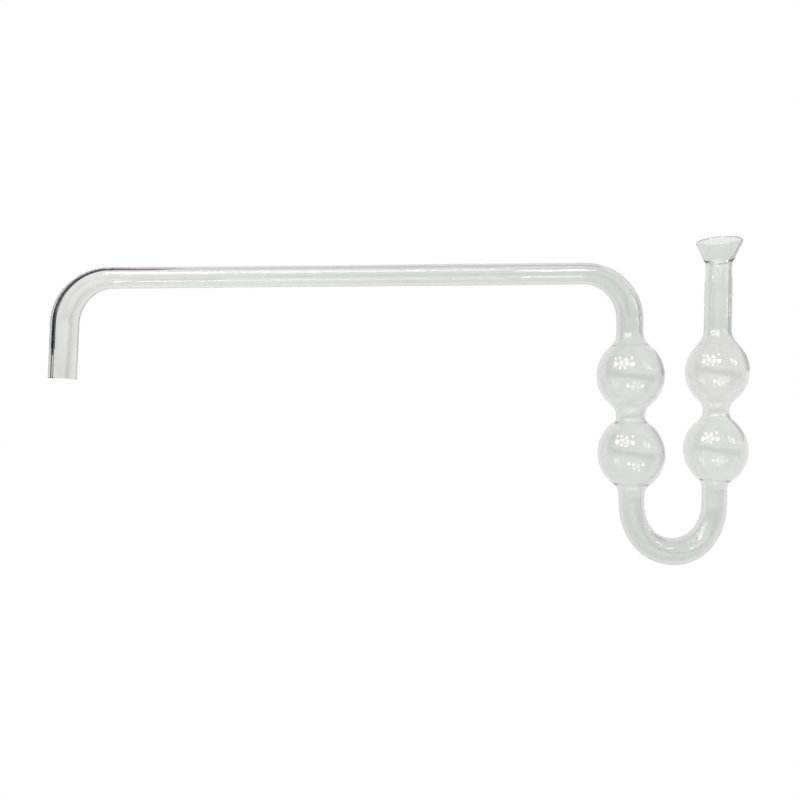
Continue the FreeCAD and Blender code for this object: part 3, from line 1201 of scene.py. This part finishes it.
def grey(level: float) -> Colour:
    """A grey, from black at zero to white at one."""
    return (level, level, level)


def opaque(colour: Colour) -> tuple[float, float, float, float]:
    """A colour as sockets take it."""
    return (*colour, 1.0)


def facing(target: Vector, azimuth: float, height: float, distance: float) -> Vector:
    """Finds a place that is seen from a target.

    Args:
        target: Where it is seen from.
        azimuth: Degrees left of -Y, or right where negative.
        height: Degrees up.
        distance: How far it is.

    Returns:
        The place.
    """
    turn, rise = math.radians(azimuth), math.radians(height)
    way = Vector((-math.sin(turn) * math.cos(rise), -math.cos(turn) * math.cos(rise), math.sin(rise)))
    return target + way * distance


@dataclass(frozen=True)
class Lamp:
    """A soft oval lamp that faces its target.

    Attributes:
        name: Its name.
        azimuth: Where it stands about the target, in degrees left of -Y.
        height: How many degrees up it stands.
        distance: How far it is from the target.
        widths: Its two widths.
        radiance: How bright its face is.
    """

    name: str
    azimuth: float
    height: float
    distance: float
    widths: tuple[float, float]
    radiance: float

    def light(self, target: Vector, lit: bpy.types.Collection) -> None:
        """Adds the lamp. Its power is its radiance times its area times pi.

        Args:
            target: What it faces.
            lit: The pieces that it lights.
        """
        data = bpy.data.lights.new(self.name, "AREA")
        data.shape = "ELLIPSE"
        data.size, data.size_y = self.widths
        data.energy = self.radiance * (math.pi / 4 * self.widths[0] * self.widths[1]) * math.pi
        lamp = bpy.data.objects.new(self.name, data)
        place = facing(target, self.azimuth, self.height, self.distance)
        lamp.location = place
        lamp.rotation_mode = "QUATERNION"
        lamp.rotation_quaternion = (target - place).to_track_quat("-Z", "Y")
        lamp.light_linking.receiver_collection = lit
        bpy.context.scene.collection.objects.link(lamp)


@dataclass(frozen=True)
class Flag:
    """A flat card that stands by the glass and is seen only in it.

    Attributes:
        name: Its name.
        corners: Its four corners, in order round it.
        colour: Its colour.
        through: Whether it shows through the glass too, and not only where the glass mirrors it.
    """

    name: str
    corners: tuple[Place, Place, Place, Place]
    colour: Colour = BLACK
    through: bool = False

    @classmethod
    def upright(cls, name: str, start: PlanPlace, end: PlanPlace, low: float, high: float,
                colour: Colour = BLACK, through: bool = False) -> "Flag":
        """Makes a card that stands on the line between two places in plan.

        Args:
            name: Its name.
            start: Where the line starts.
            end: Where it ends.
            low: The height of the card's lower edge.
            high: The height of its upper edge.
            colour: Its colour.
            through: Whether it shows through the glass.

        Returns:
            The card.
        """
        return cls(name, ((*start, low), (*end, low), (*end, high), (*start, high)), colour, through)

    @classmethod
    def level(cls, name: str, low: PlanPlace, high: PlanPlace, height: float, colour: Colour) -> "Flag":
        """Makes a card that lies between two opposite corners in plan.

        Args:
            name: Its name.
            low: The corner with the least X and Y.
            high: The corner with the greatest.
            height: How high it lies.
            colour: Its colour.

        Returns:
            The card.
        """
        (x0, y0), (x1, y1) = low, high
        corners = ((x0, y0, height), (x1, y0, height), (x1, y1, height), (x0, y1, height))
        return cls(name, corners, colour)


@dataclass(frozen=True)
class BenchLine:
    """A dark, soft-edged band round the bulbs: what lies between a bright bench and a bright ceiling.

    It follows a great circle as the bulbs see it, which leans a little.

    Attributes:
        distance: How far it is from the bulbs.
        half_height: How far it reaches above and below its middle, in degrees.
        lean: How far its middle rises at most, in degrees.
        level_at: The azimuth at which its middle is level with the bulbs, left of -Y.
        azimuths: Where it begins and ends.
        steps: How many flat parts it has.
    """

    distance: float = 0.95
    half_height: float = 11.0
    lean: float = 7.0
    level_at: float = 25.0
    azimuths: tuple[float, float] = (112.0, -75.0)
    steps: int = 24

    def grid(self) -> np.ndarray:
        """Places its points. The middle's height is the lean times the sine of the azimuth past level_at.

        Returns:
            The points about the bulbs, in rows for its lower edge, its middle and its upper edge.
        """
        azimuth = np.radians(np.linspace(*self.azimuths, self.steps + 1))[None, :]
        middle = self.lean * np.sin(azimuth - math.radians(self.level_at))
        height = np.radians(middle + self.half_height * np.array([-1, 0, 1])[:, None])
        plan = self.distance * np.ones_like(height)
        return np.stack([-plan * np.sin(azimuth), -plan * np.cos(azimuth), plan * np.tan(height)], -1)


@dataclass
class Studio:
    """A pale floor, a white surround, cards, soft lamps and the camera.

    Attributes:
        eye: Where the camera is.
        roll: How far it is turned about its line of sight, in degrees.
        lens: Its focal length, in millimetres.
        sensor: How wide its sensor is, in millimetres.
        nearest: How near to the camera it begins to see.
        plain_light: How bright the surround is for rays that only light things.
        floor_drop: How far the floor is under the part.
        floor_size: How wide it is.
        floor_tone: Its own tone.
        floor_white: How bright its glow is.
        floor_share: How much of it is glow where it is seen. The rest shows the shadow.
        bench: The band round the bulbs.
        arm_lamps: What lights the inlet and the arm.
        bulb_lamps: What lights the bulbs, the U bend and the mouth.
        flags: The cards.
    """

    eye: Place = (141.8 * MM, -264.0 * MM, -8.9 * MM)
    roll: float = 0.53
    lens: float = 28.28565
    sensor: float = 36.0
    nearest: float = 0.01
    plain_light: float = 0.7
    floor_drop: float = 220.0 * MM
    floor_size: float = 8.0
    floor_tone: float = 0.9
    floor_white: float = 1.07
    floor_share: float = 0.85
    bench: BenchLine = BenchLine()
    arm_lamps: tuple[Lamp, ...] = (
        Lamp("arm_left", 35.0, 38.0, 0.66, (0.18, 0.11), 12.0),
        Lamp("arm_right", -20.0, 26.0, 1.20, (0.20, 0.22), 14.0),
        Lamp("arm_soft", 11.0, 44.0, 0.60, (0.30, 0.24), 4.0),
        Lamp("arm_soft_right", -13.0, 44.0, 0.60, (0.15, 0.24), 3.2),
    )
    bulb_lamps: tuple[Lamp, ...] = (
        Lamp("bank_far", 76.0, 31.0, 0.60, (0.11, 0.11), 14.0),
        Lamp("bank_near", 11.0, 33.0, 0.45, (0.085, 0.085), 14.0),
        Lamp("bank_soft", 43.0, 37.0, 0.60, (0.40, 0.24), 1.8),
        Lamp("bank_a", 91.0, 45.0, 0.80, (0.07, 0.07), 9.0),
        Lamp("bank_b", 70.0, 50.0, 0.45, (0.045, 0.045), 9.0),
        Lamp("bank_c", 39.0, 49.0, 0.45, (0.060, 0.060), 10.0),
        Lamp("bank_d", 9.0, 53.0, 0.45, (0.045, 0.045), 9.0),
        Lamp("bank_e", 32.0, 36.0, 0.45, (0.055, 0.055), 10.0),
        Lamp("bank_f", 57.0, 39.0, 0.45, (0.050, 0.050), 10.0),
        Lamp("bank_g", 57.0, 23.0, 0.45, (0.042, 0.042), 9.0),
        Lamp("bank_h", 38.0, 23.0, 0.45, (0.042, 0.042), 9.0),
        Lamp("window_a", -36.0, 26.0, 0.90, (0.036, 0.34), 9.0),
        Lamp("window_b", -50.0, 21.0, 0.90, (0.045, 0.24), 12.0),
        Lamp("window_c", -67.0, 14.0, 0.90, (0.040, 0.040), 12.0),
        Lamp("window_d", -80.0, 9.0, 0.90, (0.040, 0.040), 10.0),
    )
    # The inlet and its bend mirror their cards as a dark blue edge, the arm mirrors its own along
    # its top, and the mouth tube and the bulbs as a grey edge. The leg card greys the inlet leg.
    flags: tuple[Flag, ...] = (
        Flag.upright("inlet_flag", (-0.20, 0.168), (-0.27, 0.045), 0.036, 0.34, NAVY, True),
        Flag.upright("inlet_flag_low", (-0.215, 0.143), (-0.27, 0.045), -0.05, 0.036, grey(0.1), True),
        Flag.upright("inlet_flag_end", (-0.27, 0.045), (-0.30, -0.04), 0.036, 0.34, NAVY),
        Flag.upright("inlet_light", (-0.45, 0.085), (-0.45, -0.03), -0.03, 0.055, WHITE),
        Flag("bend_flag", (
            (-0.20, 0.168, 0.08), (-0.12, 0.25, 0.18), (-0.12, 0.25, 0.34), (-0.20, 0.168, 0.34)), NAVY),
        Flag.level("arm_flag", (-0.34, 0.02), (-0.070, 0.24), 0.34, PLUM),
        Flag.level("arm_shade", (-0.070, 0.02), (0.40, 0.24), 0.34, grey(0.7)),
        Flag.upright("mouth_flag", (0.565, -0.01), (0.55, 0.107), 0.008, 0.130, grey(0.68)),
        Flag.upright("mouth_flag_back", (0.55, 0.107), (0.45, 0.23), 0.008, 0.130, grey(0.68)),
        Flag.upright("mouth_line", (-0.27, -0.24), (-0.23, -0.31), 0.06, 0.16),
        Flag("leg_card", (
            (-0.44, 0.90, 0.02), (-0.27, 0.90, 0.02), (-0.17, 0.90, 0.19), (-0.33, 0.90, 0.19)),
            grey(0.85), True),
    )

    def world(self) -> None:
        """White to the camera, in reflections and through glass, and plain grey light on the rest."""
        world = bpy.data.worlds.new("surround")
        bpy.context.scene.world = world
        world.use_nodes = True
        sheet = ShaderSheet(world.node_tree)
        plain, white = (
            sheet.node("ShaderNodeBackground", {}, {"Color": opaque(WHITE), "Strength": strength})
            for strength in (self.plain_light, 1.0))
        mixed = sheet.node("ShaderNodeMixShader", {}, {0: self._seen(sheet), 1: plain, 2: white})
        sheet.node("ShaderNodeOutputWorld", {}, {"Surface": mixed})

    @staticmethod
    def _seen(sheet: ShaderSheet) -> Wire:
        """Tells whether a ray comes from the camera, from a reflection or through glass.

        Args:
            sheet: The sheet that asks.

        Returns:
            One where it does, and zero where it doesn't.
        """
        camera, glossy, through = (
            sheet.node("ShaderNodeLightPath", {}, {}, f"Is {kind} Ray")
            for kind in ("Camera", "Glossy", "Transmission"))
        return camera.at_least(glossy).at_least(through)

    def floor(self) -> None:
        """A plain white floor that keeps the object's soft shadow."""
        low = CAD_BOX[0].z - self.floor_drop
        half = self.floor_size / 2
        corners = np.array([(-half, -half, low), (half, -half, low), (half, half, low), (-half, half, low)])
        material, sheet = new_material("floor")
        plain = sheet.node("ShaderNodeBsdfDiffuse", {}, {"Color": opaque(grey(self.floor_tone))})
        white = sheet.node("ShaderNodeEmission", {}, {"Color": opaque(WHITE), "Strength": self.floor_white})
        share = self._seen(sheet) * self.floor_share
        mixed = sheet.node("ShaderNodeMixShader", {}, {0: share, 1: plain, 2: white})
        sheet.node("ShaderNodeOutputMaterial", {}, {"Surface": mixed})
        self._panel("floor", corners, [(0, 1, 2, 3)], material)

    def hang_flags(self) -> None:
        """Hangs each card. A ray that isn't to see it meets white, as the surround is."""
        for flag in self.flags:
            material, sheet = new_material(flag.name)
            colour = opaque(flag.colour)
            if not flag.through:
                colour = sheet.mix(self._unmirrored(sheet), colour, opaque(WHITE))
            tone = sheet.node("ShaderNodeEmission", {}, {"Color": colour, "Strength": 1.0})
            sheet.node("ShaderNodeOutputMaterial", {}, {"Surface": tone})
            self._hide(self._panel(flag.name, np.array(flag.corners), [(0, 1, 2, 3)], material))

    def hang_bench(self, middle: Vector) -> None:
        """Hangs the bench line. Its tone is the square of how near its edges a place is.

        Args:
            middle: The place that it goes round, between the bulbs.
        """
        grid = self.bench.grid()
        rows, columns = grid.shape[:2]
        row, column = np.meshgrid(np.arange(rows - 1), np.arange(columns - 1), indexing="ij")
        first = (row * columns + column).ravel()
        quads = np.stack([first, first + 1, first + columns + 1, first + columns], -1)
        material, sheet = new_material("bench_line")
        edge = sheet.attribute(EDGE)
        strength = self._unmirrored(sheet).at_least(edge * edge)
        tone = sheet.node("ShaderNodeEmission", {}, {"Color": opaque(WHITE), "Strength": strength})
        sheet.node("ShaderNodeOutputMaterial", {}, {"Surface": tone})
        line = self._panel("bench_line", grid.reshape(-1, 3) + np.array(middle), quads.tolist(), material)
        edges = np.repeat(np.array([1.0, 0.0, 1.0], np.float32), columns)
        line.data.attributes.new(EDGE, "FLOAT", "POINT").data.foreach_set("value", edges)
        self._hide(line)

    @staticmethod
    def _unmirrored(sheet: ShaderSheet) -> Wire:
        """One for a ray that no surface has mirrored on its way, and zero for the rest."""
        return (1.0 - sheet.node("ShaderNodeLightPath", {}, {}, "Glossy Depth")).clamped()

    @staticmethod
    def _hide(card: bpy.types.Object) -> None:
        """Leaves a card to the glass: the camera and the floor don't see it."""
        card.visible_camera = card.visible_diffuse = card.visible_shadow = False

    @staticmethod
    def _panel(name: str, corners: np.ndarray, faces: list[tuple[int, ...]],
               material: bpy.types.Material) -> bpy.types.Object:
        """Puts up a thin piece of the stage.

        Args:
            name: Its name.
            corners: Its corners.
            faces: Which of them each face joins, in order.
            material: Its material.

        Returns:
            The piece.
        """
        mesh = bpy.data.meshes.new(name)
        mesh.from_pydata(corners.tolist(), [], faces)
        mesh.materials.append(material)
        panel = bpy.data.objects.new(name, mesh)
        bpy.context.scene.collection.objects.link(panel)
        return panel

    def camera(self) -> None:
        """A close camera, level with the bulbs, that looks along +Y."""
        data = bpy.data.cameras.new("camera")
        data.sensor_width = self.sensor
        data.lens = self.lens
        data.clip_start = self.nearest
        camera = bpy.data.objects.new("camera", data)
        bpy.context.scene.collection.objects.link(camera)
        roll = Matrix.Rotation(math.radians(self.roll), 4, "Y")
        level = Matrix.Rotation(math.radians(90), 4, "X")
        camera.matrix_world = roll @ Matrix.Translation(self.eye) @ level
        bpy.context.scene.camera = camera

    def build(self, pieces: dict[str, bpy.types.Object]) -> None:
        """Sets the whole studio up.

        The arm's lamps face its middle and light the glass up to the drop bend. The bank faces the
        bulbs and lights the glass from the drop bend on.

        Args:
            pieces: The glass, by node, from the inlet to the mouth.
        """
        bpy.context.scene.view_settings.view_transform = "Standard"
        self.world()
        self.floor()
        self.hang_flags()
        self.camera()
        nodes = list(pieces)
        shared = nodes.index("drop_bend")
        groups = (("long_arm", self.arm_lamps, nodes[:shared + 1]),
                  ("inner_neck", self.bulb_lamps, nodes[shared:]))
        for name, lamps, lit in groups:
            group = bpy.data.collections.new(f"lit_with_{name}")
            for node in lit:
                group.objects.link(pieces[node])
            for lamp in lamps:
                lamp.light(self._middle(name), group)
        self.hang_bench(self._middle("inner_neck"))

    @staticmethod
    def _middle(node: str) -> Vector:
        """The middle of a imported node's box."""
        low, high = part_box(node)
        return (Vector(low) + Vector(high)) / 2


def past_box(piece: bpy.types.Object, node: str) -> float:
    """Measures how far a piece reaches past its node's box.

    Args:
        piece: The dressed piece.
        node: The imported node.

    Returns:
        The distance in mm, below zero where it stays inside.
    """
    low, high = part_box(node)
    corners = np.array([piece.matrix_world @ Vector(corner) for corner in piece.bound_box])
    return max(*(np.array(low) - corners.min(0)), *(corners.max(0) - np.array(high))) / MM


def main() -> None:
    """Builds the glass and the studio, and reports each piece."""
    logging.basicConfig(level=logging.INFO, format="%(name)s: %(message)s")
    glass, hand = ClearGlass().material(), HandWork()
    assemblies = [Inlet(), SideArm(), InnerColumn(), UBend(), OuterColumn(), Mouth()]
    run = GlassRun(90 - assemblies[0].lean)
    for assembly in assemblies:
        assembly.lay(run)
    pieces = {}
    for assembly in assemblies:
        for node, stretches in assembly.outlines(run).items():
            pieces[node] = piece = GlassPiece(run, hand, node, stretches).build(glass)
            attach(piece, BODY)
            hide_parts(node)
            faces = len(piece.data.polygons)
            LOG.info("%s: %d faces, %.3f mm past its node's box", piece.name, faces, past_box(piece, node))
    Studio().build(pieces)


if __name__ == "__main__":
    main()
